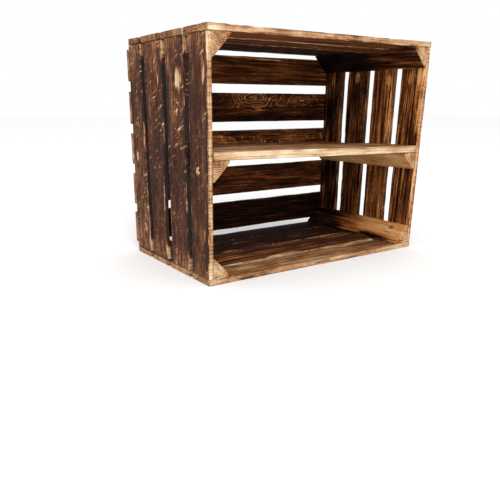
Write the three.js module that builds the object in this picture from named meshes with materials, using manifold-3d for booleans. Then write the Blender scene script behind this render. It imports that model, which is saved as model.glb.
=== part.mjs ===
// An apple crate of torched, rough-sawn spruce, lying on a long side so that its open mouth faces the
// front, with two loose boards on a pair of battens as a middle shelf.
//
// Millimetres, +Z up, the mouth faces -Y, and the origin is at the middle of the base. Inside the crate's
// own group, places are counted from the outer corner at the left, front and bottom.

import * as THREE from 'three';
import { mergeVertices } from 'three/addons/utils/BufferGeometryUtils.js';
import Module from 'manifold-3d';

const wasm = await Module();
wasm.setup();

// ---------------------------------------------------------------- driving dimensions

const crateWidth = 500;
const crateDepth = 290;
const crateHeight = 400;
const boardThickness = 10;
const uprightThickness = 9;
const touchGap = 0.3;

// Each wall lists the widths of its slats, as [at the near end, at the far end]: the stock is hand sawn and
// some slats taper. The back wall counts from the bottom up, and the others from the mouth to the back. The
// near end is the lower end of an upright slat and the left end of a lying one.
const leftSlatWidths = [[55, 58], [61, 61], [62, 70], [59, 47]];
const rightSlatWidths = [[58, 58], [57, 57], [58, 58], [56, 56]];
const topSlatWidths = [[72, 71], [68, 68], [73, 72], [44, 46]];
const bottomSlatWidths = [[57, 56], [72, 71], [66, 67], [57, 58]];
const backSlatWidths = [[61, 61], [61, 60], [59, 59], [59, 60], [56, 56]];
const backSlatsFrom = 19;
const backSlatsTo = 383;

const postLeg = 36;
const postTipFlat = 1.5;
const battenLeg = 33;
const battenTipFlat = 3;
const battenTopLeft = 203.5;
const battenTopRight = 195.5;
const battenFallToBack = 3.5;

const shelfEndGap = 1;
const shelfFrontGap = 0.5;
const shelfBackGap = 2;
const frontBoardWidth = 118;
const frontBoardThickness = 13.5;
const betweenBoards = 2.5;

const nailLength = 24;
const nailPoint = 3;
const nailRadius = 1.1;
const nailHeadRadius = 2.6;
const nailHeadThickness = 0.9;
const nailSides = 8;
const nailBelowBattenTop = 15;
// where a back slat's two nails stand, as shares of its width
const nailShares = { low: 0.25, high: 0.75 };

// ---------------------------------------------------------------- worked-out places

const wallDepth = crateDepth - boardThickness - touchGap;
const innerLeft = uprightThickness + touchGap;
const innerRight = crateWidth - innerLeft;
const innerBottom = boardThickness + touchGap;
const innerTop = crateHeight - innerBottom;
const quarterTurn = Math.PI / 2;
const weldDistance = 1e-4;

// ---------------------------------------------------------------- materials

function wood(colour, roughness) {
  return new THREE.MeshStandardMaterial({ color: colour, roughness, metalness: 0 });
}

const torchedWood = wood(0x4a3024, 0.8);
const charredWood = wood(0x2a1811, 0.85);
const postWood = wood(0xb88f62, 0.8);
const shelfWood = wood(0xcdb088, 0.75);
const nailSteel = new THREE.MeshStandardMaterial({ color: 0x3b3733, roughness: 0.5, metalness: 0.9 });

// ---------------------------------------------------------------- cutting

function toSolid(geometry, matrix) {
  const bare = geometry.clone().applyMatrix4(matrix);
  bare.deleteAttribute('normal');
  bare.deleteAttribute('uv');
  const merged = mergeVertices(bare, weldDistance);
  return new wasm.Manifold(
    new wasm.Mesh({
      numProp: 3,
      vertProperties: new Float32Array(merged.attributes.position.array),
      triVerts: new Uint32Array(merged.index.array),
    })
  );
}

function toGeometry(solid) {
  const mesh = solid.getMesh();
  const geometry = new THREE.BufferGeometry();
  geometry.setAttribute('position', new THREE.BufferAttribute(mesh.vertProperties, 3));
  geometry.setIndex(new THREE.BufferAttribute(mesh.triVerts, 1));
  return geometry;
}

// Drills a piece for every nail that reaches it. Both stand in the crate's group, perhaps inside further
// groups.
function drill(piece, nails) {
  const toPiece = piece.matrixWorld.clone().invert();
  let solid = toSolid(piece.geometry, new THREE.Matrix4());
  for (const nail of nails) {
    const place = toPiece.clone().multiply(nail.matrixWorld);
    solid = solid.subtract(toSolid(nailHoleGeometry, place));
  }
  piece.geometry = toGeometry(solid);
}

// ---------------------------------------------------------------- boards and battens

// Spreads slats over a stretch with even gaps, and gives each one's lower and upper edge at both ends.
function spread(widths, from, to) {
  const edges = widths.map(() => []);
  for (const end of [0, 1]) {
    const total = widths.reduce((sum, width) => sum + width[end], 0);
    const gap = (to - from - total) / (widths.length - 1);
    let edge = from;
    widths.forEach((width, i) => {
      edges[i].push({ from: edge, to: edge + width[end], middle: edge + width[end] / 2 });
      edge += width[end] + gap;
    });
  }
  return edges;
}

// A sawn slat: it runs along X, its edges lie across Y, and its thickness is along Z.
function slatGeometry(edges, length, thickness) {
  const outline = new THREE.Shape();
  outline.moveTo(0, edges[0].from);
  outline.lineTo(length, edges[1].from);
  outline.lineTo(length, edges[1].to);
  outline.lineTo(0, edges[0].to);
  outline.closePath();
  return new THREE.ExtrudeGeometry(outline, { depth: thickness, bevelEnabled: false });
}

function wallOfSlats(name, allEdges, length, thickness, material) {
  const wall = new THREE.Group();
  allEdges.forEach((edges, i) => {
    const slat = new THREE.Mesh(slatGeometry(edges, length, thickness), material);
    slat.name = `${name}_slat_${i + 1}`;
    wall.add(slat);
  });
  return wall;
}

// A three-sided batten sawn on the diagonal. Its square corner is at the origin, its legs point the ways
// given by the two signs along X and Z, and it runs along +Y.
function battenMesh(name, length, leg, tipFlat, signX, signZ, material) {
  const outline = new THREE.Shape();
  outline.moveTo(0, 0);
  outline.lineTo(signX * leg, 0);
  outline.lineTo(signX * leg, signZ * tipFlat);
  outline.lineTo(signX * tipFlat, signZ * leg);
  outline.lineTo(0, signZ * leg);
  outline.closePath();
  const geometry = new THREE.ExtrudeGeometry(outline, { depth: length, bevelEnabled: false });
  geometry.rotateX(quarterTurn);
  geometry.translate(0, length, 0);
  const batten = new THREE.Mesh(geometry, material);
  batten.name = name;
  return batten;
}

// ---------------------------------------------------------------- nails

// A turned nail with its point at the origin and its head at +Y. The margin makes the hole it sits in.
function nailShape(margin) {
  const shank = nailRadius + margin;
  const head = nailHeadRadius + margin;
  const underHead = nailLength - nailHeadThickness - margin;
  const profile = [
    new THREE.Vector2(0, -margin),
    new THREE.Vector2(shank, nailPoint - margin),
    new THREE.Vector2(shank, underHead),
    new THREE.Vector2(head, underHead),
    new THREE.Vector2(head, nailLength + margin),
    new THREE.Vector2(0, nailLength + margin),
  ];
  return new THREE.LatheGeometry(profile, nailSides);
}

const nailGeometry = nailShape(0);
const nailHoleGeometry = nailShape(touchGap);

// A nail driven along a direction, with its head just below the face that it is driven through.
function drivenNail(name, headPlace, direction) {
  const nail = new THREE.Mesh(nailGeometry, nailSteel);
  nail.name = name;
  nail.quaternion.setFromUnitVectors(new THREE.Vector3(0, -1, 0), direction);
  nail.position.copy(headPlace).addScaledVector(direction, nailLength + touchGap / 2);
  return nail;
}

// ---------------------------------------------------------------- the crate

const crate = new THREE.Group();
crate.position.set(-crateWidth / 2, -crateDepth / 2, 0);

const leftEdges = spread(leftSlatWidths, 0, wallDepth);
const rightEdges = spread(rightSlatWidths, 0, wallDepth);
const backEdges = spread(backSlatWidths, backSlatsFrom, backSlatsTo);

function lyingWall(name, widths, bottom) {
  const edges = spread(widths, 0, wallDepth);
  const wall = wallOfSlats(name, edges, crateWidth, boardThickness, torchedWood);
  wall.position.z = bottom;
  return wall;
}

function uprightWall(name, edges, rightFace) {
  const wall = wallOfSlats(name, edges, innerTop - innerBottom, uprightThickness, torchedWood);
  wall.rotation.y = -quarterTurn;
  wall.position.set(rightFace, 0, innerBottom);
  return wall;
}

function backWall() {
  const wall = wallOfSlats('back', backEdges, crateWidth, boardThickness, charredWood);
  wall.rotation.x = quarterTurn;
  wall.position.y = crateDepth;
  return wall;
}

const bottomWall = lyingWall('bottom', bottomSlatWidths, 0);
const topWall = lyingWall('top', topSlatWidths, crateHeight - boardThickness);
const leftWall = uprightWall('left', leftEdges, uprightThickness);
const rightWall = uprightWall('right', rightEdges, crateWidth);
const rearWall = backWall();
crate.add(bottomWall, topWall, leftWall, rightWall, rearWall);

function cornerPosts() {
  const corners = [
    ['corner_post_bottom_left', innerLeft, innerBottom, 1, 1],
    ['corner_post_bottom_right', innerRight, innerBottom, -1, 1],
    ['corner_post_top_left', innerLeft, innerTop, 1, -1],
    ['corner_post_top_right', innerRight, innerTop, -1, -1],
  ];
  return corners.map(([name, x, z, signX, signZ]) => {
    const post = battenMesh(name, wallDepth, postLeg, postTipFlat, signX, signZ, postWood);
    post.position.set(x, 0, z);
    return post;
  });
}

crate.add(...cornerPosts());

// ---------------------------------------------------------------- the shelf

const battenFall = Math.atan(battenFallToBack / wallDepth);
const battenLength = wallDepth - shelfFrontGap - shelfBackGap;

function shelfBatten(name, x, top, signX) {
  const batten = battenMesh(name, battenLength, battenLeg, battenTipFlat, signX, -1, shelfWood);
  batten.rotation.x = -battenFall;
  batten.position.set(x, shelfFrontGap, top);
  return batten;
}

const leftBatten = shelfBatten('shelf_batten_left', innerLeft, battenTopLeft, 1);
const rightBatten = shelfBatten('shelf_batten_right', innerRight, battenTopRight, -1);
crate.add(leftBatten, rightBatten);

// The battens aren't level with each other, so the boards bear on the inner edge of the higher left batten
// and on the far end of the lower right one, and lean down to the right and to the back.
function shelfBoards() {
  const bearingLeft = innerLeft + battenLeg;
  const sideFall = Math.atan((battenTopLeft - battenTopRight) / (innerRight - bearingLeft));
  const length = (innerRight - innerLeft - 2 * shelfEndGap) / Math.cos(sideFall);
  const leftEnd = innerLeft + shelfEndGap;
  const leftEndHeight = battenTopLeft + touchGap + (bearingLeft - leftEnd) * Math.tan(sideFall);
  const shelf = new THREE.Group();
  shelf.rotation.set(-battenFall, sideFall, 0);
  shelf.position.set(leftEnd, shelfFrontGap, leftEndHeight);

  const rearBoardFrom = frontBoardWidth + betweenBoards;
  const boards = [
    ['shelf_board_front', 0, frontBoardWidth, frontBoardThickness],
    ['shelf_board_rear', rearBoardFrom, battenLength - rearBoardFrom, boardThickness],
  ];
  for (const [name, from, width, thickness] of boards) {
    const board = new THREE.Mesh(new THREE.BoxGeometry(length, width, thickness), shelfWood);
    board.name = name;
    board.position.set(length / 2, from + width / 2, thickness / 2);
    shelf.add(board);
  }
  return shelf;
}

crate.add(shelfBoards());

// ---------------------------------------------------------------- nailing

// Two nails at each end of every back slat, driven forwards into the rear edges of the side walls.
function nailBackWall() {
  const forwards = new THREE.Vector3(0, -1, 0);
  const sides = [
    ['left', uprightThickness / 2, leftWall.children.at(-1), 0],
    ['right', crateWidth - uprightThickness / 2, rightWall.children.at(-1), 1],
  ];
  const nailsInSlat = backEdges.map(() => []);
  for (const [side, x, wallSlat, end] of sides) {
    const nailsInWall = [];
    backEdges.forEach((edges, i) => {
      const { from, to } = edges[end];
      for (const [place, share] of Object.entries(nailShares)) {
        const head = new THREE.Vector3(x, crateDepth, from + share * (to - from));
        const nail = drivenNail(`back_nail_${side}_${i + 1}_${place}`, head, forwards);
        nailsInSlat[i].push(nail);
        nailsInWall.push(nail);
      }
    });
    drillFor(nailsInWall, [wallSlat]);
  }
  nailsInSlat.forEach((nails, i) => drillFor(nails, [rearWall.children[i]]));
}

// One nail through each side slat into the shelf batten behind it.
function nailShelfBattens() {
  const sides = [
    ['left', leftWall, leftEdges, leftBatten, 0, new THREE.Vector3(1, 0, 0)],
    ['right', rightWall, rightEdges, rightBatten, crateWidth, new THREE.Vector3(-1, 0, 0)],
  ];
  for (const [side, wall, edges, batten, x, inwards] of sides) {
    const nails = edges.map(([lower, upper], i) => {
      const y = (lower.middle + upper.middle) / 2;
      const z = batten.position.z - y * Math.tan(battenFall) - nailBelowBattenTop;
      return drivenNail(`batten_nail_${side}_${i + 1}`, new THREE.Vector3(x, y, z), inwards);
    });
    drillFor(nails, [batten]);
    nails.forEach((nail, i) => drillFor([nail], [wall.children[i]]));
  }
}

function drillFor(nails, pieces) {
  crate.add(...nails);
  crate.updateMatrixWorld(true);
  pieces.forEach((piece) => drill(piece, nails));
}

nailBackWall();
nailShelfBattens();

export default crate;
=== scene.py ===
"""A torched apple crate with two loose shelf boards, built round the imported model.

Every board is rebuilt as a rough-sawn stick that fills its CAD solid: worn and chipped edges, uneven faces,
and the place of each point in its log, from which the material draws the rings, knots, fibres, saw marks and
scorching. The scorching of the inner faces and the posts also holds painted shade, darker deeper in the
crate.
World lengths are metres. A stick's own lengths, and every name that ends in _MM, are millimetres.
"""

import itertools
import math
from collections import namedtuple

import bpy
import numpy as np
from mathutils import Euler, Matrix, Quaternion, Vector


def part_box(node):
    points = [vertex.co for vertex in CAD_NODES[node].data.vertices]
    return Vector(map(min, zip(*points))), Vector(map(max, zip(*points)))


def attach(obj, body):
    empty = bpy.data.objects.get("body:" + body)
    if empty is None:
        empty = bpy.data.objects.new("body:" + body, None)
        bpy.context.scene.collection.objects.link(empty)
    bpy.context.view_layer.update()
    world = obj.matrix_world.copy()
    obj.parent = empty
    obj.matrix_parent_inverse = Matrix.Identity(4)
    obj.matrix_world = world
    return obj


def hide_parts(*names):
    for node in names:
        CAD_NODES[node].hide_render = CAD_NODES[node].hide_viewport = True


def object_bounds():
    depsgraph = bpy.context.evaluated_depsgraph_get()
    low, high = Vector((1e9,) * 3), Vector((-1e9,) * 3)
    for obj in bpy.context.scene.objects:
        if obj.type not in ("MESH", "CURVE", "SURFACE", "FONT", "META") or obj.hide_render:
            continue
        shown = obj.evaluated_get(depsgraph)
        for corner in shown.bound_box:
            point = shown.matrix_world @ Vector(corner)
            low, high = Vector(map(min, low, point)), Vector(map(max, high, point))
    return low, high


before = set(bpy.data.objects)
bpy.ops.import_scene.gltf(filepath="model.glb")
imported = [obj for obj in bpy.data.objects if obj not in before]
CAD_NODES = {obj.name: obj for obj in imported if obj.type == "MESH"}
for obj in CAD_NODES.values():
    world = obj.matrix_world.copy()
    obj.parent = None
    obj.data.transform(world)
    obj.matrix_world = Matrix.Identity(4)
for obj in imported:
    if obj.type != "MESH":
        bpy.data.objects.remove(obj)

CAD_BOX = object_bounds()
MM = 0.001
X, Y, Z = 0, 1, 2

# -------- camera, floor and light

CAMERA_PLACE = (-0.6966, -0.8886, 0.2919)
CAMERA_TURN_DEG = -33.28
CAMERA_DOWN_DEG = 18.947
CAMERA_ROLL_DEG = 0.105
PHOTO_LENS_MM = 32.915
CLOSER = 1.2
CAMERA_SHIFT = (0.04, 0.08)

WORLD_LIGHT = 1.0
KEY_PLACE = (-1.3, -2.6, 2.2)
KEY_TARGET = (0.0, 0.0, 0.2)
KEY_SIZE = 1.5
KEY_POWER = 58.0
KEY_COLOUR = (1.0, 0.98, 0.95)
FLOOR_REACH = 12.0
FLOOR_DROP = 0.0005
FLOOR_COLOUR = (0.97, 0.97, 0.97, 1.0)
FLOOR_ROUGHNESS = 0.9


def add_object(name, data):
    made = bpy.data.objects.new(name, data)
    bpy.context.scene.collection.objects.link(made)
    return made


def add_camera():
    data = bpy.data.cameras.new("camera")
    data.lens = PHOTO_LENS_MM * CLOSER
    data.sensor_width = 36.0
    data.shift_x, data.shift_y = CAMERA_SHIFT
    data.clip_end = 100.0
    camera = add_object("camera", data)
    camera.location = CAMERA_PLACE
    aim = Euler((math.radians(90.0 - CAMERA_DOWN_DEG), 0.0, math.radians(CAMERA_TURN_DEG)))
    roll = Quaternion((0.0, 0.0, 1.0), math.radians(CAMERA_ROLL_DEG))
    camera.rotation_euler = (aim.to_quaternion() @ roll).to_euler()
    bpy.context.scene.camera = camera


def add_key_light():
    data = bpy.data.lights.new("key", "AREA")
    data.shape = "DISK"
    data.size = KEY_SIZE
    data.energy = KEY_POWER
    data.color = KEY_COLOUR
    light = add_object("key", data)
    light.location = KEY_PLACE
    light.rotation_euler = (Vector(KEY_TARGET) - Vector(KEY_PLACE)).to_track_quat("-Z", "Y").to_euler()


def add_surroundings():
    world = bpy.data.worlds.new("studio")
    world.use_nodes = True
    background = world.node_tree.nodes["Background"]
    background.inputs["Color"].default_value = (1.0, 1.0, 1.0, 1.0)
    background.inputs["Strength"].default_value = WORLD_LIGHT
    bpy.context.scene.world = world
    bpy.context.scene.view_settings.view_transform = "Standard"

    add_key_light()

    signs = ((-1, -1), (1, -1), (1, 1), (-1, 1))
    floor_mesh = bpy.data.meshes.new("floor")
    floor_mesh.from_pydata([(x * FLOOR_REACH, y * FLOOR_REACH, 0.0) for x, y in signs], [], [(0, 1, 2, 3)])
    floor = add_object("floor", floor_mesh)
    floor.location.z = CAD_BOX[0].z - FLOOR_DROP
    material = bpy.data.materials.new("pale_floor")
    material.use_nodes = True
    shader = material.node_tree.nodes["Principled BSDF"]
    shader.inputs["Base Color"].default_value = FLOOR_COLOUR
    shader.inputs["Roughness"].default_value = FLOOR_ROUGHNESS
    shader.inputs["Specular IOR Level"].default_value = 0.0
    floor_mesh.materials.append(material)


# -------- random fields


def smooth_noise(points, seed):
    """Smooth random values from -1 to 1, with one cell of the field for each unit of the points."""
    points = np.asarray(points, float)
    cell = np.floor(points).astype(np.int64)
    part = points - cell
    ease = part * part * (3.0 - 2.0 * part)
    total = np.zeros(len(points))
    for corner in itertools.product((0, 1), repeat=3):
        at = cell + np.array(corner)
        # large odd numbers scatter the cell's place into a value from 0 to 1
        key = at[:, 0] * 73856093 ^ at[:, 1] * 19349663 ^ at[:, 2] * 83492791 ^ (seed * 7919 + 13)
        key = (key ^ (key >> 13)) * 1274126177 & 0xFFFFFFFF
        key = (key ^ (key >> 16)) * 2246822519 & 0xFFFFFFFF
        value = (key ^ (key >> 15)) / 0xFFFFFFFF * 2.0 - 1.0
        weight = np.prod(np.where(np.array(corner) == 1, ease, 1.0 - ease), axis=1)
        total += value * weight
    return total


# -------- the shape of a stick

STATION_MM = 4.0
ACROSS_MM = 3.5
EDGE_RADIUS_MM = 1.1
END_RADIUS_MM = 0.8
ARC_STEPS = 4
# the most of a side that the rounding of one corner may take
MOST_CUT = 0.45
# the rings of a stick's flat ends, as shares of its section
CAP_RINGS = (0.94, 0.8, 0.6, 0.4, 0.2)
SAME_END_MM = 1.0
# how closely a side faces along an axis before it counts as square and not slanting
SQUARE_ENOUGH = 0.9
UNCHANGING_MM = 1e6


def end_outline(points, along, across, is_far_end):
    """The corners of a CAD solid's end face, in order round it, and how far along the solid that end is."""
    reach = points[:, along].max() if is_far_end else points[:, along].min()
    at_end = points[np.abs(points[:, along] - reach) < SAME_END_MM]
    flat = np.unique(np.round(at_end[:, across], 2), axis=0)
    middle = flat.mean(axis=0)
    angle = np.arctan2(flat[:, 1] - middle[1], flat[:, 0] - middle[0])
    return flat[np.argsort(angle)], at_end[:, along].mean()


def side_steps(corners):
    """The way that each side runs, its length, and the way that it faces."""
    ahead = np.roll(corners, -1, axis=0) - corners
    lengths = np.linalg.norm(ahead, axis=1)
    ahead = ahead / lengths[:, None]
    return ahead, lengths, np.stack([ahead[:, 1], -ahead[:, 0]], axis=1)


def rounded_section(corners, counts, radius):
    """Points round an outline with rounded corners, their outward normals and each side's share in them."""
    total = len(corners)
    ahead, lengths, outward = side_steps(corners)
    turns = [math.acos(np.clip(outward[i - 1] @ outward[i], -1.0, 1.0)) for i in range(total)]
    cuts = [
        min(radius * math.tan(turns[i] / 2.0), MOST_CUT * lengths[i], MOST_CUT * lengths[i - 1])
        for i in range(total)
    ]
    points, normals, sides = [], [], []
    for i in range(total):
        after = (i + 1) % total
        true_radius = cuts[i] / math.tan(turns[i] / 2.0)
        centre = corners[i] + ahead[i] * cuts[i] - outward[i] * true_radius
        start = math.atan2(outward[i - 1][1], outward[i - 1][0])
        for step in range(ARC_STEPS + 1):
            share = step / ARC_STEPS
            angle = start + turns[i] * share
            normal = np.array([math.cos(angle), math.sin(angle)])
            points.append(centre + normal * true_radius)
            normals.append(normal)
            weights = np.zeros(total)
            weights[i - 1] = 1.0 - share
            weights[i] = share
            sides.append(weights)
        first = corners[i] + ahead[i] * cuts[i]
        last = corners[after] - ahead[i] * cuts[after]
        for step in range(1, counts[i]):
            points.append(first + (last - first) * step / counts[i])
            normals.append(outward[i])
            sides.append(np.eye(total)[i])
    return np.array(points), np.array(normals), np.array(sides)


def ring_stations(length):
    """Each ring's place along a stick, how far in from the flanks it is, its scale and its flank share."""
    rounding = []
    for step in range(ARC_STEPS):
        angle = math.pi / 2 * step / ARC_STEPS
        inset = END_RADIUS_MM * (1 - math.sin(angle))
        rounding.append((END_RADIUS_MM * (1 - math.cos(angle)), inset, 1.0, math.sin(angle)))
    near = [(0.0, END_RADIUS_MM, scale, 0.0) for scale in reversed(CAP_RINGS)] + rounding
    spans = max(2, round((length - 2 * END_RADIUS_MM) / STATION_MM))
    flank = [(u, 0.0, 1.0, 1.0) for u in np.linspace(END_RADIUS_MM, length - END_RADIUS_MM, spans + 1)]
    far = [(length - u, inset, scale, share) for u, inset, scale, share in reversed(near)]
    return near + flank + far


class Stick:
    """A board or batten as rings of points, from one end's middle to the other's, in its own coordinates:
    millimetres along it from its near end, and then the world's other two axes in their order."""

    def __init__(self, node, along, seed):
        mesh = CAD_NODES[node].data
        flat = np.zeros(len(mesh.vertices) * 3, np.float32)
        mesh.vertices.foreach_get("co", flat)
        points = flat.reshape(-1, 3).astype(float) / MM
        self.along = along
        self.across = [axis for axis in range(3) if axis != along]
        self.seed = seed
        self.near, self.start = end_outline(points, along, self.across, False)
        self.far, end = end_outline(points, along, self.across, True)
        self.length = end - self.start
        self.build()

    def build(self):
        _, lengths, _ = side_steps(self.near)
        counts = [max(1, round(length / ACROSS_MM)) for length in lengths]
        near, normals, sides = rounded_section(self.near, counts, EDGE_RADIUS_MM)
        far, _, _ = rounded_section(self.far, counts, EDGE_RADIUS_MM)
        stations = ring_stations(self.length)
        self.round_count, self.ring_count = len(near), len(stations)
        local, normal, on_side = [], [], []
        for u, inset, scale, flank in stations:
            share = u / self.length
            section = near + (far - near) * share
            middle = section.mean(axis=0)
            section = middle + (section - normals * inset - middle) * scale
            endwards = math.sqrt(1.0 - flank * flank) * (-1.0 if share < 0.5 else 1.0)
            local.append(np.column_stack([np.full(len(section), u), section]))
            normal.append(np.column_stack([np.full(len(section), endwards), normals * flank]))
            on_side.append(np.full(len(section), flank))
        for u, section, facing in ((0.0, near, -1.0), (self.length, far, 1.0)):
            local.append(np.array([[u, *section.mean(axis=0)]]))
            normal.append(np.array([[facing, 0.0, 0.0]]))
            on_side.append(np.zeros(1))
        self.local = np.concatenate(local)
        self.normal = np.concatenate(normal)
        self.on_side = np.concatenate(on_side)
        self.side = np.concatenate([np.tile(sides, (self.ring_count, 1)), np.zeros((2, sides.shape[1]))])

    def side_names(self):
        """Which way each side faces: an axis with its sign, or slant."""
        _, _, outward = side_steps(self.near)
        names = []
        for facing in outward:
            axis = int(np.argmax(np.abs(facing)))
            sign = "-" if facing[axis] < 0 else "+"
            is_square = abs(facing[axis]) > SQUARE_ENOUGH
            names.append(sign + "XYZ"[self.across[axis]] if is_square else "slant")
        return names

    def field(self, wavelength, offset):
        """A smooth random field over the stick, from the lengths of its features along the stick's three
        coordinates. The offset is a number of its own for each field, so that no two agree."""
        shift = np.array([self.seed * 3.17, offset * 5.3, self.seed * 0.77])
        return smooth_noise(self.local / np.array(wavelength) + shift, self.seed * 31 + offset)

    def run(self, wavelength, offset):
        """A smooth random field that changes only along the stick."""
        return self.field((wavelength, UNCHANGING_MM, UNCHANGING_MM), offset)

    def corner_gap(self, corner):
        """How far each point is from one of the stick's long corners."""
        share = (self.local[:, 0] / self.length)[:, None]
        line = self.near[corner] + (self.far[corner] - self.near[corner]) * share
        return np.linalg.norm(self.local[:, 1:] - line, axis=1)

    def wide_axis(self):
        """Which of the two axes across the stick it is wider along: 0 or 1."""
        size = self.near.max(axis=0) - self.near.min(axis=0)
        return 0 if size[0] >= size[1] else 1

    def faces(self):
        n, rings = self.round_count, self.ring_count
        index = np.arange(n)
        following = (index + 1) % n
        quads = []
        for ring in range(rings - 1):
            low, high = ring * n, (ring + 1) * n
            quads.append(np.column_stack([low + index, low + following, high + following, high + index]))
        near_middle, far_middle, last = rings * n, rings * n + 1, (rings - 1) * n
        faces = np.concatenate(quads).tolist()
        faces += [[near_middle, int(b), int(a)] for a, b in zip(index, following)]
        faces += [[far_middle, int(last + a), int(last + b)] for a, b in zip(index, following)]
        turned = np.linalg.det(np.eye(3)[[self.along, *self.across]]) < 0
        return [face[::-1] for face in faces] if turned else faces

    def to_world(self, local):
        world = np.zeros_like(local)
        world[:, self.along] = local[:, 0] + self.start
        world[:, self.across[0]] = local[:, 1]
        world[:, self.across[1]] = local[:, 2]
        return world * MM


# -------- sawing and wear

CHIP_REACH_MM = 2.8
CHIP_LONG_RUN_MM = 60.0
CHIP_SHORT_RUN_MM = 19.0
MOST_CHIPPED = 1.2
# added to a corner's random run, so that little of a sound one is chipped and most of a split one
SOUND_CORNER = -0.16
SPLIT_CORNER = 0.75
WANE_SPREAD_MM = 30.0
UNEVEN_BROAD_MM = 0.22
UNEVEN_FINE_MM = 0.13
SAWN_UNDER_MM = 0.06
WAVE_LONG_RUN_MM = 150.0
WAVE_SHORT_RUN_MM = 45.0
END_STAGGER_MM = 1.0
END_ROUGH_MM = 0.35
# a side is an edge, and waves, if it is under this share of the widest side
NARROW_SHARE = 0.35


def chip_depths(stick, split_corner):
    """How chipped each point is, from 0 to a little over 1: some lengths of each long corner have broken
    away, and nearly all of the split one, given by the two sides that meet there."""
    names = stick.side_names()
    chipped = np.zeros(len(stick.local))
    for corner in range(len(names)):
        long_run = 0.9 * stick.run(CHIP_LONG_RUN_MM, 40 + corner)
        runs = long_run + 0.6 * stick.run(CHIP_SHORT_RUN_MM, 50 + corner)
        is_split = {names[corner - 1], names[corner]} == set(split_corner)
        depth = np.clip(runs + (SPLIT_CORNER if is_split else SOUND_CORNER), 0.0, MOST_CHIPPED)
        chipped = np.maximum(chipped, depth * np.exp(-((stick.corner_gap(corner) / CHIP_REACH_MM) ** 2)))
    return chipped


def waned(stick, wane):
    """How far each point moves across the stick because the bark edge of the log cuts into one side. The wane
    is that side, the share along where the cut is deepest, its half length as a share, and its depth."""
    shift = np.zeros((len(stick.local), 3))
    if wane:
        side, deepest, reach, depth = wane
        column = 1 + stick.across.index("XYZ".index(side[1]))
        inwards = 1.0 if side[0] == "-" else -1.0
        share = stick.local[:, 0] / stick.length
        ends = [(outline[:, column - 1] * inwards).min() for outline in (stick.near, stick.far)]
        from_side = stick.local[:, column] * inwards - (ends[0] + (ends[1] - ends[0]) * share)
        step = (share - deepest) / reach
        spread = np.clip(1.0 - from_side / WANE_SPREAD_MM, 0.0, 1.0)
        shift[:, column] = inwards * depth * np.exp(-step * step) * spread
    return shift


def worn_shape(stick, look, split_corner, wane):
    """The stick's points moved to a rough-sawn shape with chipped edges, and how chipped each point is."""
    broad = UNEVEN_BROAD_MM * stick.field((70, 22, 22), 1)
    uneven = broad + UNEVEN_FINE_MM * stick.field((11, 7, 7), 2) - SAWN_UNDER_MM
    chipped = chip_depths(stick, split_corner)
    move = look["roughness"] * uneven - look["chips"] * chipped
    _, lengths, _ = side_steps(stick.near)
    for side, length in enumerate(lengths):
        if length < NARROW_SHARE * lengths.max():
            long_wave = 0.5 + 0.7 * stick.run(WAVE_LONG_RUN_MM, 20 + side)
            wave = np.clip(long_wave + 0.3 * stick.run(WAVE_SHORT_RUN_MM, 30 + side), 0.0, 1.5)
            move = move - look["wave"] * wave * stick.side[:, side]
    draw = np.random.default_rng(stick.seed)
    stagger = np.where(stick.local[:, 0] < stick.length / 2, *draw.uniform(0.0, END_STAGGER_MM, 2))
    end_cut = stagger + END_ROUGH_MM + END_ROUGH_MM * stick.field((UNCHANGING_MM, 9, 9), 3)
    moved = stick.local + stick.normal * (move * stick.on_side)[:, None] + waned(stick, wane)
    moved[:, 0] -= stick.normal[:, 0] * end_cut
    return moved, chipped


# -------- scorching and grain

LICK_RUN_MM = 35.0
# a stick darkens from the first share along over the second: on the posts and battens, which run from the
# mouth to the back, this is partly their charring and partly painted shade deep in the crate
FAR_BURN_AND_SHADE_FROM = 0.3
FAR_BURN_AND_SHADE_OVER = 0.5
BURN_PATCHES = 0.09
BURN_SPOTS = 0.06
PALE_END_MM = 45.0
PALE_END_STRAY_MM = 25.0
# the pith's place across a slat in shares of its width, its depth and its slope, and the ring spacing
PITH_ACROSS = (-0.4, 1.4)
PITH_DEPTH_MM = (22.0, 60.0)
PITH_SLOPE = 0.04
RING_MM = (3.0, 4.6)
KNOTTED_RING_MM = 2.7
# sticks lie far apart along their logs, so that neighbours have different grain
LOG_STEP_MM = 1000.0
LOG_PLACES = 17
# how many radii away a knot or scrape is taken to be where a stick has none
FAR_AWAY = 500.0
# a share along the stick: saw marks are thinner up to the first, and at full strength that much further on
LOW_MARKS_TO = 0.35
LOW_MARKS_FADE = 0.3
OPPOSITE = {"-X": "+X", "+X": "-X", "-Y": "+Y", "+Y": "-Y", "-Z": "+Z", "+Z": "-Z"}


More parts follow.
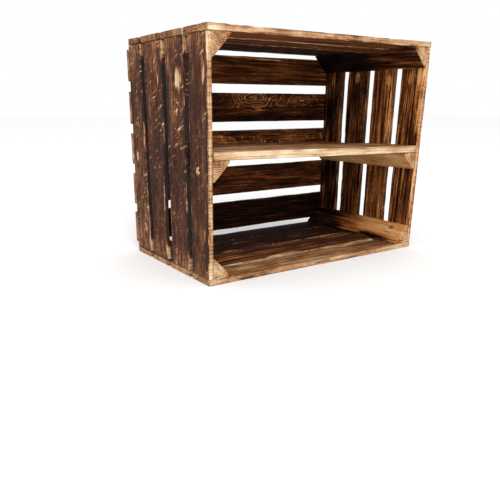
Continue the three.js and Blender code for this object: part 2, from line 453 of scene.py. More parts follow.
def scorch_and_shade(stick, burns, look):
    """How burnt each point is, from about 0 for bare wood to about 1 for charcoal, with painted shade inside
    the crate added in.
    """
    names = stick.side_names()
    own = np.array([burns[name] for name in names])
    burn = (stick.side @ own) * stick.on_side + burns["end"] * (1.0 - stick.on_side)
    for corner in range(len(names)):
        # the flame that reached one side licks round the corner onto its neighbour
        hotter = max(own[corner], own[corner - 1])
        reached = 0.45 + 0.55 * stick.run(LICK_RUN_MM, 60 + corner)
        lick = np.exp(-stick.corner_gap(corner) / look["lick"]) * reached
        burn = burn + np.clip(hotter - burn, 0.0, None) * np.clip(lick, 0.0, 1.0)
    share = stick.local[:, 0] / stick.length
    # painted shade, with the charring there: darker towards the far end, which is the back of the crate on
    # the posts and battens
    far = np.clip((share - FAR_BURN_AND_SHADE_FROM) / FAR_BURN_AND_SHADE_OVER, 0.0, 1.0)
    burn = burn + look["far_burn"] * far * far * (3.0 - 2.0 * far)
    burn = burn + BURN_PATCHES * stick.field((90, 25, 25), 11) + BURN_SPOTS * stick.field((28, 9, 9), 12)
    from_end = np.minimum(stick.local[:, 0], stick.length - stick.local[:, 0])
    reach = PALE_END_MM + PALE_END_STRAY_MM * stick.field((60, 15, 15), 13)
    burn = burn - look["pale_ends"] * np.clip(1.0 - from_end / reach, 0.0, 1.0) * stick.on_side
    if "masked" in burns:
        # where another board covered the end of one side, the flame stopped at a line
        side, cover, amount = burns["masked"]
        covered = np.clip((cover - from_end) / STATION_MM, 0.0, 1.0)
        burn = burn - amount * covered * stick.side[:, names.index(side)]
    return burn


# Where a stick lay in its log: the pith, as a share across its width and a depth, then the pith's slope and
# the ring spacing. A knot is its share along, its share across and its radius.
Grain = namedtuple("Grain", "pith slope spacing knots")


def random_grain(seed, knots):
    draw = np.random.default_rng(seed)
    side = draw.uniform(*PITH_ACROSS)
    depth = draw.choice([-1.0, 1.0]) * draw.uniform(*PITH_DEPTH_MM)
    slope = (draw.uniform(-PITH_SLOPE, PITH_SLOPE), draw.uniform(-PITH_SLOPE, PITH_SLOPE))
    spacing = draw.uniform(*RING_MM)
    if knots:
        side = knots[0][1]
        spacing = KNOTTED_RING_MM
    return Grain((side, depth), slope, spacing, knots)


def log_coordinates(stick, grain):
    """Each point's place in the log: along it, and across it from the pith."""
    wide = stick.wide_axis()
    low, high = stick.near.min(axis=0), stick.near.max(axis=0)
    from_middle = stick.local[:, 0] - stick.length / 2
    across = stick.local[:, 1 + wide] - (low[wide] + (high[wide] - low[wide]) * grain.pith[0])
    through = stick.local[:, 2 - wide] - (low[1 - wide] + high[1 - wide]) / 2 - grain.pith[1]
    x = across - from_middle * grain.slope[0]
    y = through - from_middle * grain.slope[1]
    return np.column_stack([stick.local[:, 0] + LOG_STEP_MM * (stick.seed % LOG_PLACES), x, y])


def nearest_place(stick, places, radii):
    """Each point's step along and across from the nearest of some places, in that place's two radii, and that
    place's number. The places are given as shares along and across."""
    wide = stick.wide_axis()
    low, high = stick.near.min(axis=0)[wide], stick.near.max(axis=0)[wide]
    result = np.tile([FAR_AWAY, FAR_AWAY, 0.0], (len(stick.local), 1))
    closest = np.full(len(stick.local), FAR_AWAY)
    for number, ((share_along, share_across), (long_radius, wide_radius)) in enumerate(zip(places, radii)):
        along = (stick.local[:, 0] - share_along * stick.length) / long_radius
        across = (stick.local[:, 1 + wide] - (low + share_across * (high - low))) / wide_radius
        gap = np.hypot(along, across)
        here = np.column_stack([along, across, np.full(len(gap), number)])
        result[gap < closest] = here[gap < closest]
        closest = np.minimum(closest, gap)
    return result


def knot_coordinates(stick, knots):
    """Each point's step from the nearest knot, in knot radii, and that knot's radius."""
    places = [(along, across) for along, across, _ in knots]
    radii = [(radius, radius) for _, _, radius in knots]
    result = nearest_place(stick, places, radii)
    sizes = np.array([radius for _, _, radius in knots] or [1.0])
    result[:, 2] = sizes[result[:, 2].astype(int)]
    return result


def scrape_coordinates(stick, side, scrapes):
    """Each point's step from the nearest scrape on one side, in scrape radii, and how deep that scrape is."""
    places = [(along, across) for along, across, _, _, _ in scrapes]
    radii = [(long_radius, wide_radius) for _, _, long_radius, wide_radius, _ in scrapes]
    depths = np.array([depth for _, _, _, _, depth in scrapes] or [0.0])
    result = nearest_place(stick, places, radii)
    if scrapes:
        result[:, 2] = depths[result[:, 2].astype(int)] * stick.side[:, stick.side_names().index(side)]
    return result


def add_attribute(mesh, name, values):
    attribute = mesh.attributes.new(name, "FLOAT_VECTOR", "POINT")
    attribute.data.foreach_set("vector", np.ascontiguousarray(values, np.float32).ravel())


def add_look(mesh, stick, grain, look, torched):
    """Writes how strong each pattern of the wood is. Some differ between the torched and inner faces."""

    def everywhere(name):
        return np.full(len(torched), look[name])

    def by_face(name):
        outside, inside = look[name]
        return outside * torched + inside * (1.0 - torched)

    upper = np.clip((stick.local[:, 0] / stick.length - LOW_MARKS_TO) / LOW_MARKS_FADE, 0.0, 1.0)
    marks = by_face("marks") * (look["low_marks"] + (1.0 - look["low_marks"]) * upper)
    spacing = np.full(len(torched), grain.spacing)
    contrasts = [by_face("streaks"), everywhere("ticks"), by_face("flecks")]
    add_attribute(mesh, "look", np.column_stack([spacing, everywhere("lines"), marks]))
    add_attribute(mesh, "contrast", np.column_stack(contrasts))


def add_stick(node, along, body, material, burns, seed, look, outer=""):
    """One board or batten, in place of its CAD node. Outer is the side that faces out of the crate."""
    stick = Stick(node, along, seed)
    grain = random_grain(seed, KNOTS.get(node, ()))
    look = dict(look, **LOOK_CHANGES.get(node, {}))
    scraped_side, scrapes = SCRAPES.get(node, ("", ()))
    moved, chipped = worn_shape(stick, look, SPLIT_CORNERS.get(node, ()), WANES.get(node))
    count = len(chipped)
    mesh = bpy.data.meshes.new(f"{node}_wood")
    mesh.from_pydata(stick.to_world(moved).tolist(), [], stick.faces())
    mesh.shade_smooth()
    rim = np.min([stick.corner_gap(corner) for corner in range(len(stick.near))], axis=0)
    add_attribute(mesh, "log", log_coordinates(stick, grain))
    add_attribute(mesh, "knot", knot_coordinates(stick, grain.knots))
    add_attribute(mesh, "scrape", scrape_coordinates(stick, scraped_side, scrapes))
    # the burn value holds the scorching and the painted shade inside the crate
    add_attribute(mesh, "burn", np.column_stack([scorch_and_shade(stick, burns, look), stick.on_side, chipped]))
    names = stick.side_names()
    torched = 1.0 - stick.side[:, names.index(OPPOSITE[outer])] if outer else np.zeros(count)
    add_attribute(mesh, "rim", np.column_stack([rim, torched, np.full(count, look["tint"])]))
    add_look(mesh, stick, grain, look, torched)
    mesh.materials.append(material)
    piece = add_object(f"{node}_wood", mesh)
    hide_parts(node)
    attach(piece, body)
    return stick


# -------- materials


class Graph:
    """A material's node tree, with short ways to add the nodes that the materials need."""

    def __init__(self, name):
        self.material = bpy.data.materials.new(name)
        self.material.use_nodes = True
        self.tree = self.material.node_tree
        self.shader = self.tree.nodes["Principled BSDF"]

    def put(self, node, slot, value):
        if isinstance(value, bpy.types.NodeSocket):
            self.tree.links.new(value, node.inputs[slot])
        else:
            node.inputs[slot].default_value = value

    def new(self, kind, inputs, **settings):
        """A new node with its settings and its inputs filled in."""
        node = self.tree.nodes.new(f"ShaderNode{kind}")
        for name, value in settings.items():
            setattr(node, name, value)
        for slot, value in inputs.items():
            self.put(node, slot, value)
        return node

    def math(self, operation, *values):
        return self.new("Math", dict(enumerate(values)), operation=operation).outputs[0]

    def fold(self, operation, values):
        result = values[0]
        for value in values[1:]:
            result = self.math(operation, result, value)
        return result

    def add(self, *values):
        return self.fold("ADD", values)

    def times(self, *values):
        return self.fold("MULTIPLY", values)

    def less(self, first, second):
        return self.math("SUBTRACT", first, second)

    def attribute(self, name):
        node = self.new("Attribute", {}, attribute_name=name)
        split = self.new("SeparateXYZ", {0: node.outputs["Vector"]})
        return split.outputs[0], split.outputs[1], split.outputs[2]

    def vector(self, x, y, z):
        return self.new("CombineXYZ", {0: x, 1: y, 2: z}).outputs[0]

    def noise(self, vector, detail, roughness=0.55):
        inputs = {"Vector": vector, "Scale": 1.0, "Detail": detail, "Roughness": roughness}
        return self.new("TexNoise", inputs).outputs["Fac"]

    def random(self, value):
        return self.new("TexWhiteNoise", {"W": value}, noise_dimensions="1D").outputs["Value"]

    def smooth(self, value, low, high):
        inputs = {"Value": value, "From Min": low, "From Max": high}
        return self.new("MapRange", inputs, interpolation_type="SMOOTHSTEP").outputs["Result"]

    def ramp(self, value, stops):
        node = self.new("ValToRGB", {"Fac": value})
        elements = node.color_ramp.elements
        while len(elements) < len(stops):
            elements.new(0.5)
        for element, (place, colour) in zip(elements, stops):
            element.position = place
            element.color = (*linear(colour), 1.0)
        return node.outputs["Color"]

    def blend(self, share, first, second):
        node = self.new("Mix", {"Factor": share}, data_type="RGBA")
        for slot, value in (("A", first), ("B", second)):
            socket = next(s for s in node.inputs if s.name == slot and s.type == "RGBA")
            if isinstance(value, bpy.types.NodeSocket):
                self.tree.links.new(value, socket)
            else:
                socket.default_value = (*linear(value), 1.0)
        return next(s for s in node.outputs if s.type == "RGBA")

    def bump(self, height, distance, strength):
        inputs = {"Height": height, "Distance": distance, "Strength": strength}
        return self.new("Bump", inputs).outputs["Normal"]


def linear(colour):
    """A colour given in 0-255 screen values, as linear light."""
    share = [c / 255.0 for c in colour]
    return [c / 12.92 if c <= 0.04045 else ((c + 0.055) / 1.055) ** 2.4 for c in share]


# bare wood, the wood that shows through scorching indoors, and the wood that shows through it outdoors
BARE_COLOURS = [
    (0.00, (238, 219, 186)),
    (0.12, (216, 191, 155)),
    (0.26, (190, 153, 115)),
    (0.41, (146, 102, 66)),
    (0.60, (92, 54, 30)),
]
SCORCH_PLACES = (0.00, 0.22, 0.38, 0.54, 0.68, 0.84, 1.00)
INNER_SHADES = [
    (230, 180, 120),
    (196, 130, 70),
    (152, 90, 44),
    (104, 58, 29),
    (70, 37, 18),
    (36, 17, 8),
    (12, 5, 3),
]
OUTER_SHADES = [
    (238, 208, 172),
    (200, 156, 118),
    (154, 108, 77),
    (108, 68, 46),
    (77, 46, 33),
    (44, 25, 17),
    (18, 10, 7),
]
SOOT_COLOUR = (66, 44, 36)
EDGE_SOOT_COLOUR = (44, 38, 36)
# how much of the scorching the pale flecks take off in each wood
SPECKLES = {"torched_wood": 0.20, "post_wood": 0.04, "shelf_wood": 0.03}

# how fine each pattern is: features to the millimetre along the grain, then across it
PATCH_GRAIN = (0.016, 0.06)
KNOT_BEND_GRAIN = (0.03, 0.06)
RING_WAVE_GRAIN = (0.010, 0.035)
LONG_STREAK_GRAIN = (0.007, 0.22)
SHORT_STREAK_GRAIN = (0.035, 0.26)
FIBRE_GRAIN = (0.10, 0.95)
FLECK_GRAIN = (0.17, 0.42)
CUT_PATCH_GRAIN = (0.011, 0.045)
# the fine ticks that the saw's teeth leave across bare wood
TICK_GRAIN = (0.30, 0.02)
RIM_GRAIN = (0.07, 0.1)
EDGE_SOOT_GRAIN = (0.012, 0.10)
# and the saw's scratches: from one to the next, along one, and through the board
CUT_GRAIN = (0.30, 0.045, 0.1)

# where each pattern starts and where it is complete, in the field that it is drawn from
KNOT_EDGE = (0.55, 1.0)
LATE_WOOD_RISE = (0.58, 0.86)
LATE_WOOD_DROP = (0.90, 1.0)
FLECK_SHOWS = (0.57, 0.70)
CUT_SHOWS = (0.55, 0.68)
CUT_PATCH_SHOWS = (0.42, 0.58)
TICK_SHOWS = (0.42, 0.62)
SCORCHED = (0.30, 0.62)
SCRAPE_EDGE = (0.45, 1.05)
RIM_SHOWS = (0.45, 0.62)
SOOT_DARK = (0.36, 0.62)
SOOT_PATCH_SHOWS = (0.42, 0.60)
EDGE_SOOT_DARK = (0.42, 0.6)
EDGE_SOOT_SHOWS = (0.38, 0.54)
EDGE_SOOT_MM = (3.0, 17.0)

# how fast a knot's swelling fades along and across, for each of its radii, and how far it strays
SWELLING_SHARES = (0.15, 0.46)
SWELLING_STRAY = (0.7, 0.5)
SWELLING_PUSH = 2.7
KNOT_WOBBLE = 1.4
RING_WAVE_MM = 9.0
FAINTEST_RING = 0.35
CUT_SLANT = 0.5
SCRAPE_WOBBLE = 2.2
# how far the worn rim reaches from the edge: its bare part, then its end, which strays with the noise
RIM_BARE_MM = 0.5
RIM_END_MM = 1.2
RIM_STRAY_MM = 2.2


class WoodGraph(Graph):
    """The wood's node tree, with what the points of a stick carry and the noise that follows its grain."""

    def __init__(self, name):
        super().__init__(name)
        self.u, self.x, self.y = self.attribute("log")
        self.knot_u, self.knot_v, self.knot_radius = self.attribute("knot")
        self.scrape_u, self.scrape_v, self.scrape_depth = self.attribute("scrape")
        # the burn value is the scorching with the painted shade inside the crate
        self.burn, self.on_side, self.chipped = self.attribute("burn")
        self.rim, self.torched, self.tint = self.attribute("rim")
        self.spacing, self.line_strength, self.mark_strength = self.attribute("look")
        self.streak_strength, self.tick_strength, self.fleck_strength = self.attribute("contrast")
        self.patch = self.grain_noise(PATCH_GRAIN, 4.0, 0.6)

    def grain_noise(self, grain, detail, roughness=0.55):
        along, across = grain
        place = self.vector(self.times(self.u, along), self.times(self.x, across), self.times(self.y, across))
        return self.noise(place, detail, roughness)

    def swing(self, noise, size):
        """Noise round a half, as a swing to both sides of nought."""
        return self.times(self.less(noise, 0.5), size)

    def squares(self, first, second):
        return self.add(self.times(first, first), self.times(second, second))

    def gap(self, first, second):
        return self.math("SQRT", self.squares(first, second))

    def fade(self, value, low, high):
        """Falls smoothly from 1 at the low value to 0 at the high one."""
        return self.less(1.0, self.smooth(value, low, high))


def knot_patterns(g):
    """A knot's round core, the swelling that pushes the rings apart far along the grain, and its halo."""
    bend = g.grain_noise(KNOT_BEND_GRAIN, 2.0)
    long_u = g.add(g.times(g.knot_u, SWELLING_SHARES[0]), g.swing(bend, SWELLING_STRAY[0]))
    long_v = g.add(g.times(g.knot_v, SWELLING_SHARES[1]), g.swing(bend, SWELLING_STRAY[1]))
    swelling = g.math("EXPONENT", g.times(g.squares(long_u, long_v), -1.0))
    wobbly_gap = g.add(g.gap(g.knot_u, g.knot_v), g.swing(g.patch, KNOT_WOBBLE))
    core = g.fade(wobbly_gap, *KNOT_EDGE)
    return core, swelling, g.times(swelling, g.less(1.0, core))


def late_wood_lines(g, swelling):
    """The dark line of each year's ring, from the distance to the pith, wavy, and swollen round a knot."""
    wave = g.swing(g.grain_noise(RING_WAVE_GRAIN, 3.0), RING_WAVE_MM)
    swollen = g.times(swelling, g.knot_radius, SWELLING_PUSH)
    rings = g.math("DIVIDE", g.add(g.gap(g.x, g.y), wave, swollen), g.spacing)
    ring = g.math("FRACT", rings)
    strength = g.add(FAINTEST_RING, g.times(g.random(g.math("FLOOR", rings)), 1.0 - FAINTEST_RING))
    return g.times(g.smooth(ring, *LATE_WOOD_RISE), g.fade(ring, *LATE_WOOD_DROP), strength)


def saw_marks(g):
    """The slanting scratches of the band saw, in patches."""
    past_cuts = g.add(g.u, g.times(g.x, CUT_SLANT))
    along_cut = g.less(g.x, g.times(g.u, CUT_SLANT))
    past, along, through = CUT_GRAIN
    place = g.vector(g.times(past_cuts, past), g.times(along_cut, along), g.times(g.y, through))
    cut = g.noise(place, 2.0, 0.6)
    in_patches = g.smooth(g.grain_noise(CUT_PATCH_GRAIN, 2.0), *CUT_PATCH_SHOWS)
    return g.times(g.smooth(cut, *CUT_SHOWS), in_patches, g.mark_strength)


def rim_wear(g):
    """The ragged strip beside each long edge where the scorching is rubbed off."""
    noise = g.grain_noise(RIM_GRAIN, 3.0, 0.6)
    end = g.add(RIM_END_MM, g.times(noise, RIM_STRAY_MM))
    return g.times(g.fade(g.rim, RIM_BARE_MM, end), g.smooth(noise, *RIM_SHOWS))


def add_wood_colour(g, total, darkness, scraped):
    """Colours the wood by how burnt and how deep in painted shade it is, with soot in patches and blue-black
    beside the torched edges.
    """
    inner = g.ramp(total, list(zip(SCORCH_PLACES, INNER_SHADES)))
    outer = g.ramp(total, list(zip(SCORCH_PLACES, OUTER_SHADES)))
    scorched_colour = g.blend(g.torched, inner, outer)
    golden = g.times(g.math("MAXIMUM", g.times(g.tint, -1.0), 0.0), g.on_side)
    bared = g.add(g.times(g.chipped, 0.9), g.times(scraped, 1.2))
    charred = g.math("MAXIMUM", g.math("MAXIMUM", g.less(darkness, bared), golden), 0.0)
    colour = g.blend(charred, g.ramp(total, BARE_COLOURS), scorched_colour)
    soot_patch = g.smooth(g.patch, *SOOT_PATCH_SHOWS)
    sooty = g.times(g.smooth(total, *SOOT_DARK), soot_patch, g.math("MAXIMUM", g.tint, 0.0))
    colour = g.blend(sooty, colour, SOOT_COLOUR)
    edge_patch = g.smooth(g.grain_noise(EDGE_SOOT_GRAIN, 2.0), *EDGE_SOOT_SHOWS)
    near_edge = g.fade(g.rim, *EDGE_SOOT_MM)
    edge_soot = g.times(near_edge, edge_patch, g.torched, g.smooth(total, *EDGE_SOOT_DARK), 0.9)
    g.put(g.shader, "Base Color", g.blend(edge_soot, colour, EDGE_SOOT_COLOUR))
    g.put(g.shader, "Roughness", g.less(0.84, g.times(total, 0.20)))
    g.shader.inputs["Specular IOR Level"].default_value = 0.05


def wood_material(name, speckle):
    """Spruce whose colour runs from bare wood to charcoal, with its rings, fibres, knots and saw marks."""
    g = WoodGraph(name)
    core, swelling, halo = knot_patterns(g)
    late_wood = late_wood_lines(g, swelling)
    saw_mark = saw_marks(g)
    worn_rim = rim_wear(g)
    long_streak = g.grain_noise(LONG_STREAK_GRAIN, 4.0, 0.65)
    short_streak = g.grain_noise(SHORT_STREAK_GRAIN, 4.0, 0.68)
    streak = g.add(long_streak, g.times(g.less(short_streak, long_streak), g.torched))
    fibre = g.grain_noise(FIBRE_GRAIN, 3.0, 0.65)
    fleck = g.smooth(g.grain_noise(FLECK_GRAIN, 3.0, 0.65), *FLECK_SHOWS)
    tick = g.smooth(g.grain_noise(TICK_GRAIN, 2.0), *TICK_SHOWS)
    scrape_gap = g.add(g.gap(g.scrape_u, g.scrape_v), g.swing(short_streak, SCRAPE_WOBBLE))
    scraped = g.times(g.fade(scrape_gap, *SCRAPE_EDGE), g.scrape_depth)

    # each pattern darkens the wood or, below nought, bares it, and many show in dark or pale wood alone
    darkness = g.smooth(g.burn, *SCORCHED)
    paleness = g.less(1.0, darkness)
    end_lines = g.times(g.less(1.0, g.on_side), g.line_strength, 0.5)
    charred_lines = g.times(late_wood, darkness, g.line_strength, g.add(0.12, g.times(halo, 0.62)))
    streak_contrast = g.add(0.45, g.times(darkness, g.less(1.15, g.times(g.torched, 0.25))))
    total = g.add(
        g.burn,
        g.times(late_wood, paleness, g.add(0.13, end_lines)),
        g.times(charred_lines, -1.0),
        g.times(g.less(streak, 0.5), g.streak_strength, streak_contrast),
        g.times(g.less(fibre, 0.5), g.add(0.25, g.times(darkness, 0.3))),
        g.swing(g.patch, 0.5),
        g.times(fleck, darkness, -speckle, g.fleck_strength),
        g.times(saw_mark, darkness, -0.40),
        g.times(tick, paleness, g.on_side, g.tick_strength, 0.13),
        g.times(core, darkness, -0.30),
        g.times(core, paleness, 0.22),
        g.times(scraped, -1.0),
        g.times(g.chipped, -0.36),
        g.times(worn_rim, darkness, -0.22),
    )
    total = g.math("MAXIMUM", 0.0, g.math("MINIMUM", total, 1.0))
    add_wood_colour(g, total, darkness, scraped)

    relief = ((fibre, 0.5), (streak, 0.5), (late_wood, 0.18), (saw_mark, 0.15), (fleck, 0.2))
    height = g.add(*(g.times(pattern, share) for pattern, share in relief))
    g.put(g.shader, "Normal", g.bump(height, 0.0014, 0.75))
    return g.material


RUST_TO_THE_METRE = 900.0
STEEL_COLOURS = [(0.3, (34, 30, 28)), (0.55, (62, 54, 49)), (0.8, (104, 74, 54))]


def nail_material():
    """Steel nail heads, darkened by the flame and a little rusty."""
    g = Graph("darkened_steel")
    point = g.new("NewGeometry", {}).outputs["Position"]
    scaled = g.new("VectorMath", {0: point, "Scale": RUST_TO_THE_METRE}, operation="SCALE")
    blotch = g.noise(scaled.outputs[0], 3.0)
    g.put(g.shader, "Base Color", g.ramp(blotch, STEEL_COLOURS))
    g.put(g.shader, "Roughness", g.add(0.32, g.times(blotch, 0.4)))
    g.shader.inputs["Metallic"].default_value = 0.85
    g.put(g.shader, "Normal", g.bump(blotch, 0.0003, 0.5))
    return g.material


# -------- the walls

SLAT_SEED = 11
# each knot's shares along and across the slat, and its radius in millimetres
KNOTS = {
    "back_slat_4": [(0.577, 0.80, 8.0), (0.844, 0.74, 5.0)],
    "back_slat_3": [(0.10, 0.62, 6.0)],
    "right_slat_3": [(0.893, 0.5, 4.0)],
    "right_slat_2": [(0.868, 0.4, 3.0)],
    "left_slat_3": [(0.45, 0.4, 4.0)],
    "top_slat_2": [(0.62, 0.5, 6.0)],
    "bottom_slat_3": [(0.35, 0.6, 6.0)],
}
# the scraped side, then each scrape: its shares along and across, its half length and half width in
# millimetres, and how much of the scorching it takes off, or, below nought, how much more it is burnt
SCRAPES = {
    "left_slat_1": (
        "-X",
        [(0.465, 0.56, 8.0, 6.5, 0.60), (0.86, 0.20, 22.0, 5.0, 0.36), (0.188, 0.24, 14.0, 3.0, 0.30)],
    ),
    "left_slat_2": ("-X", [(0.842, 0.36, 22.0, 11.0, 0.52), (0.70, 0.45, 9.0, 4.0, 0.2)]),
    "left_slat_3": ("-X", [(0.835, 0.3, 14.0, 3.0, 0.40), (0.90, 0.7, 14.0, 8.0, 0.16)]),
    "left_slat_4": ("-X", [(0.48, 0.72, 12.0, 5.0, 0.40), (0.12, 0.3, 14.0, 6.0, 0.36)]),
    "right_slat_1": (
        "-X",
        [(0.86, 0.59, 12.0, 8.0, 0.24), (0.88, 0.14, 26.0, 12.0, 0.30), (0.68, 0.08, 50.0, 10.0, 0.32)],
    ),
    "right_slat_2": ("-X", [(0.85, 0.22, 14.0, 9.0, 0.34), (0.66, 0.12, 70.0, 7.0, 0.28)]),
    "right_slat_3": ("-X", [(0.87, 0.5, 13.0, 11.0, 0.44), (0.66, 0.15, 70.0, 6.0, 0.20)]),
    "right_slat_4": ("-X", [(0.86, 0.55, 16.0, 7.0, 0.26)]),
    "back_slat_5": ("-Y", [(0.63, 0.90, 26.0, 2.5, 0.30), (0.70, 0.88, 12.0, 2.0, 0.30)]),
    "back_slat_4": ("-Y", [(0.5, 0.10, 280.0, 14.0, -0.22)]),
    "corner_post_bottom_right": ("slant", [(0.26, 0.10, 50.0, 6.0, -0.5), (0.13, 0.7, 8.0, 4.0, -0.25)]),
    "back_slat_3": ("-Y", [(0.08, 0.72, 24.0, 8.0, 0.22)]),
    "bottom_slat_1": (
        "+Z",
        [(0.30, 0.94, 60.0, 4.0, 0.26), (0.36, 0.55, 30.0, 6.0, 0.16), (0.70, 0.90, 40.0, 3.0, 0.24)],
    ),
    "bottom_slat_2": (
        "+Z",
        [(0.42, 0.06, 60.0, 3.5, 0.34), (0.66, 0.05, 26.0, 3.0, 0.34), (0.24, 0.6, 24.0, 3.0, 0.3)],
    ),
}
# the two sides that meet at a corner whose edge has split off nearly all along
SPLIT_CORNERS = {
    "top_slat_1": ("-Z", "+Y"),
    "top_slat_2": ("-Z", "+Y"),
    "bottom_slat_1": ("+Z", "+Y"),
    "bottom_slat_2": ("+Z", "-Y"),
    "back_slat_5": ("-Y", "+Z"),
    "right_slat_1": ("-X", "-Y"),
}
# a side, the share along where the wane is deepest, its half length as a share, and its depth in millimetres
WANES = {"left_slat_3": ("-Y", 0.18, 0.25, 11.5)}
OUTER_SIDES = {"left": "-X", "right": "+X", "top": "+Z", "bottom": "-Z", "back": "+Y"}
RUN_AXES = {"left": Z, "right": Z, "top": X, "bottom": X, "back": X}

# how burnt the outer faces, the edges and the ends are, then each slat's inner face, from the mouth to the
# back or from the bottom up. The inner values also hold painted shade: they grow darker towards the back of
# the crate, and the lowest back slat is darker still for the shade that the shelf casts on the lower
# compartment
WALL_BURNS_AND_SHADE = {
    "left": (0.70, 0.86, 0.45, [0.80, 0.80, 0.84, 0.88]),
    "right": (0.66, 0.66, 0.45, [0.58, 0.55, 0.73, 0.79]),
    "top": (0.66, 0.66, 0.42, [0.60, 0.64, 0.76, 0.86]),
    "bottom": (0.66, 0.66, 0.28, [0.38, 0.73, 0.92, 1.06]),
    "back": (0.66, 0.78, 0.36, [0.95, 0.66, 0.58, 0.69, 0.60]),
}
# how burnt the front edges round the mouth are, then what differs on single slats
MOUTH_BURNS = {"left": 0.14, "right": 0.28, "top": 0.20, "bottom": 0.28}
SLAT_EXTRA_BURNS = {"left_slat_4": -0.08}
EDGE_BURNS = {"top_slat_2": 0.16, "top_slat_3": 0.4, "bottom_slat_2": 0.30, "bottom_slat_3": 0.5}
# the side, how many millimetres of each end the flame missed on it, and how much less those are burnt
MASKED_EDGE = ("-Y", 27.0, 0.5)

# the first of a pair is for a slat's outer face and edges, and the second for its inner face and for all
# posts, battens and boards
TORCHED_LOOK = {
    "roughness": 1.0,
    "chips": 1.6,
    "pale_ends": 0.12,
    "far_burn": 0.0,
    "lick": 2.5,
    "lines": 0.5,
    "tint": 0.35,
    "wave": 0.8,
    "ticks": 1.0,
    "marks": (0.6, 0.25),
    "low_marks": 1.0,
    "streaks": (0.9, 1.0),
    "flecks": (1.0, 0.2),
}
# the posts darken towards the back, partly from charring and partly as painted shade deep in the crate
POST_LOOK = dict(TORCHED_LOOK, roughness=0.7, chips=0.8, pale_ends=0.0, far_burn=0.6, lick=6.0)
POST_LOOK.update(lines=0.3, tint=0.2, streaks=(1.0, 1.3), ticks=0.15)
SHELF_LOOK = dict(TORCHED_LOOK, roughness=0.7, chips=0.9, pale_ends=-0.12, far_burn=0.03)
SHELF_LOOK.update(lines=1.0, marks=(0.5, 0.1), tint=0.1, ticks=0.12)
WALL_LOOKS = {
    "left": dict(TORCHED_LOOK, wave=0.1, roughness=0.8, chips=0.9, pale_ends=0.15),
    "right": dict(TORCHED_LOOK, streaks=(0.8, 1.7), flecks=(1.0, 1.3), tint=-1.0),
    "top": dict(TORCHED_LOOK, ticks=0.3),
    "bottom": dict(TORCHED_LOOK, streaks=(0.9, 1.7), ticks=0.3, flecks=(1.0, 0.6)),
    "back": dict(TORCHED_LOOK, lines=1.0, marks=(0.35, 0.1), tint=0.1, pale_ends=0.05),
}
WALL_LOOKS["left"].update(streaks=(0.75, 1.0), marks=(1.2, 0.25), low_marks=0.5)
WALL_LOOKS["back"].update(streaks=(0.8, 0.8), flecks=(0.6, 0.2))
# the looks of single pieces, where a tint below nought is the gold of wood that the flame only warmed
LOOK_CHANGES = {
    "back_slat_3": {"marks": (0.35, 1.5), "streaks": (0.8, 1.1)},
    "back_slat_4": {"lines": 1.6},
    "left_slat_1": {"chips": 0.2, "roughness": 0.4, "marks": (0.8, 0.25), "streaks": (0.6, 1.0)},
    "left_slat_2": {"chips": 0.3, "roughness": 0.5, "wave": -0.6},
    # the bottom right post has more of the painted shade and charring towards the back
    "corner_post_bottom_right": {"tint": -0.9, "lick": 11.0, "far_burn": 0.75},
    "shelf_batten_left": {"tint": -0.6},
    "shelf_batten_right": {"tint": -0.8},
}


def add_walls(material):
    """Adds every slat, and gives them back by node, for the nails to find their places."""
    slats = {}
    for wall, (outer, edge, end, inner) in WALL_BURNS_AND_SHADE.items():
        outer_side = OUTER_SIDES[wall]
        is_back = wall == "back"
        for i, inner_burn in enumerate(inner):
            seed = SLAT_SEED + len(slats)
            node = f"{wall}_slat_{i + 1}"
            outer_burn = outer + SLAT_EXTRA_BURNS.get(node, 0.0)
            burns = dict.fromkeys(OPPOSITE, edge)
            # the inner face's value is its scorching together with painted shade inside the crate
            burns.update({outer_side: outer_burn, OPPOSITE[outer_side]: inner_burn, "end": end})
            if i == 0 and not is_back:
                burns["-Y"] = MOUTH_BURNS[wall]
            elif wall == "left":
                burns["masked"] = MASKED_EDGE
            elif node in EDGE_BURNS:
                burns["-Y"] = EDGE_BURNS[node]
            slats[node] = add_stick(
                node, RUN_AXES[wall], "crate", material, burns, seed, WALL_LOOKS[wall], outer_side
            )
    return slats


# -------- the posts, battens and shelf boards

POST_SEED = 61
BATTEN_SEED = 71
BOARD_SEED = 81
# how burnt each post's slanting face and its ends are
POST_BURNS = {
    "bottom_left": (0.60, 0.24),
    "bottom_right": (0.10, 0.26),
    "top_left": (0.60, 0.34),
    "top_right": (0.73, 0.28),
}
POST_SIDE_BURN = 0.22
SAWN_TIP_BURN = 0.8
BATTEN_SIDE_BURN = 0.24
BATTEN_SLANT_BURN = 0.12
BATTEN_END_BURNS = {"left": 0.30, "right": 0.26}
BOARD_TOP_BURNS = {"front": 0.33, "rear": 0.44}
BOARD_EDGE_BURN = 0.12
BOARD_UNDER_BURN = 0.40
BOARD_END_BURN = 0.2

def add_posts(material):
    for seed, (corner, (slant, end)) in enumerate(POST_BURNS.items(), start=POST_SEED):
        burns = dict.fromkeys(OPPOSITE, POST_SIDE_BURN)
        sawn_tip = "+X" if corner.endswith("left") else "-X"
        burns.update({"slant": slant, "end": end, sawn_tip: SAWN_TIP_BURN})
        add_stick(f"corner_post_{corner}", Y, "crate", material, burns, seed, POST_LOOK)


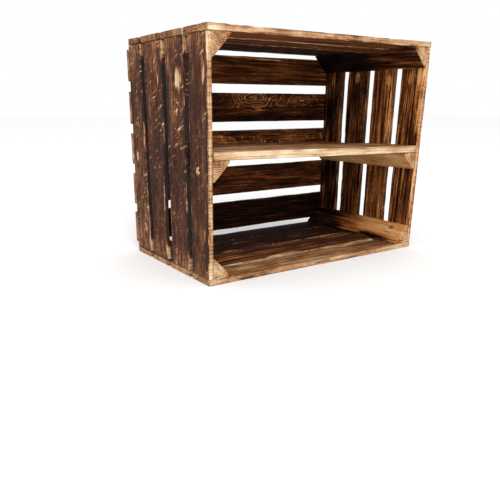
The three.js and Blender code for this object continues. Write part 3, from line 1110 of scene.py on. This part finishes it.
def add_shelf(material):
    for seed, (side, end) in enumerate(BATTEN_END_BURNS.items(), start=BATTEN_SEED):
        burns = dict.fromkeys(OPPOSITE, BATTEN_SIDE_BURN)
        burns.update({"slant": BATTEN_SLANT_BURN, "end": end})
        add_stick(f"shelf_batten_{side}", Y, "crate", material, burns, seed, SHELF_LOOK)
    for seed, (board, top) in enumerate(BOARD_TOP_BURNS.items(), start=BOARD_SEED):
        burns = dict.fromkeys(OPPOSITE, BOARD_EDGE_BURN)
        burns.update({"+Z": top, "-Z": BOARD_UNDER_BURN, "end": BOARD_END_BURN})
        add_stick(f"shelf_board_{board}", X, "shelf", material, burns, seed, SHELF_LOOK)


# -------- nails

NAIL_LENGTH_MM = 24.0
NAIL_HEAD_MM = 2.6
NAIL_SHANK_MM = 1.1
NAIL_POINT_MM = 3.0
NAIL_PROUD_MM = 0.45
NAIL_SIDES = 20
NAIL_FROM_CORNER_MM = 27.5
NAIL_SHARES = (0.25, 0.75)
NAIL_STRAY_MM = 2.0
NAIL_SEED = 500
INWARDS = {"left": (1, 0, 0), "right": (-1, 0, 0), "top": (0, 0, -1), "bottom": (0, 0, 1)}
# radius and depth below the top of the head
NAIL_PROFILE = [
    (0.0, 0.10),
    (0.55 * NAIL_HEAD_MM, 0.04),
    (0.86 * NAIL_HEAD_MM, 0.10),
    (NAIL_HEAD_MM, 0.30),
    (NAIL_HEAD_MM, 0.65),
    (0.9 * NAIL_HEAD_MM, 0.90),
    (NAIL_SHANK_MM + 0.3, 1.1),
    (NAIL_SHANK_MM, 1.6),
    (NAIL_SHANK_MM, NAIL_LENGTH_MM - NAIL_POINT_MM),
    (0.0, NAIL_LENGTH_MM),
]


def nail_rings(head, direction):
    """One nail's points and faces, from the place of its head and the direction that it is driven in."""
    direction = Vector(direction).normalized()
    head = Vector(head) - direction * NAIL_PROUD_MM * MM
    first = direction.orthogonal().normalized()
    second = direction.cross(first)
    points, faces = [], []
    for radius, depth in NAIL_PROFILE:
        for step in range(NAIL_SIDES if radius else 1):
            angle = 2.0 * math.pi * step / NAIL_SIDES
            spoke = first * math.cos(angle) + second * math.sin(angle)
            points.append(head + (direction * depth + spoke * radius) * MM)
    last = len(points) - 1
    for step in range(NAIL_SIDES):
        after = (step + 1) % NAIL_SIDES
        faces.append((0, 1 + after, 1 + step))
        for ring in range(len(NAIL_PROFILE) - 3):
            low, high = 1 + ring * NAIL_SIDES, 1 + (ring + 1) * NAIL_SIDES
            faces.append((low + step, low + after, high + after, high + step))
        outermost = last - NAIL_SIDES
        faces.append((outermost + step, outermost + after, last))
    return points, faces


def add_nails(name, places, material, nodes=()):
    """One piece with all the nails of one kind, in place of their CAD nodes if they have any."""
    points, faces = [], []
    for head, direction in places:
        more_points, more_faces = nail_rings(head, direction)
        faces += [tuple(len(points) + index for index in face) for face in more_faces]
        points += more_points
    mesh = bpy.data.meshes.new(name)
    mesh.from_pydata([tuple(point) for point in points], [], faces)
    mesh.shade_smooth()
    mesh.materials.append(material)
    piece = add_object(name, mesh)
    if nodes:
        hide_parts(*nodes)
    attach(piece, "crate")


def cad_nail_places(prefix, direction_of):
    """The nodes whose names start so, and where each one's head is and which way it is driven."""
    nodes = [node for node in CAD_NODES if node.startswith(prefix)]
    places = []
    for node in nodes:
        low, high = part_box(node)
        direction = Vector(direction_of(node))
        middle = (Vector(low) + Vector(high)) / 2
        places.append((middle - direction * NAIL_LENGTH_MM / 2 * MM, direction))
    return nodes, places


def wall_nail_places(wall, slats):
    """Two nails through each end of a wall's slats into the corner posts, a little out of line."""
    draw = np.random.default_rng(NAIL_SEED)
    inwards = Vector(INWARDS[wall])
    places = []
    for node, stick in slats.items():
        if not node.startswith(wall):
            continue
        wide = stick.wide_axis()
        outer_axis = stick.across[1 - wide]
        outline = np.array(CAD_BOX)[:, outer_axis] / MM
        level = outline[0] if inwards[outer_axis] > 0 else outline[1]
        low_end, high_end = np.array(CAD_BOX)[:, stick.along] / MM - stick.start
        near_u, far_u = low_end + NAIL_FROM_CORNER_MM, high_end - NAIL_FROM_CORNER_MM
        for corners, u in ((stick.near, near_u), (stick.far, far_u)):
            low, high = corners[:, wide].min(), corners[:, wide].max()
            for share in NAIL_SHARES:
                stray = draw.uniform(-NAIL_STRAY_MM, NAIL_STRAY_MM, 2)
                local = np.zeros((1, 3))
                local[0, 0] = u + stray[0]
                local[0, 1 + wide] = low + (high - low) * share + stray[1]
                local[0, 2 - wide] = level
                places.append((stick.to_world(local)[0], inwards))
    return places


def add_all_nails(slats, material):
    nodes, places = cad_nail_places("back_nail", lambda node: (0, -1, 0))
    add_nails("back_wall_nails", places, material, nodes)
    nodes, places = cad_nail_places(
        "batten_nail", lambda node: INWARDS["left" if "left" in node else "right"]
    )
    add_nails("shelf_batten_nails", places, material, nodes)
    for wall in INWARDS:
        add_nails(f"{wall}_wall_nails", wall_nail_places(wall, slats), material)


# -------- run

add_camera()
add_surroundings()
woods = {name: wood_material(name, speckle) for name, speckle in SPECKLES.items()}
wall_slats = add_walls(woods["torched_wood"])
add_posts(woods["post_wood"])
add_shelf(woods["shelf_wood"])
add_all_nails(wall_slats, nail_material())
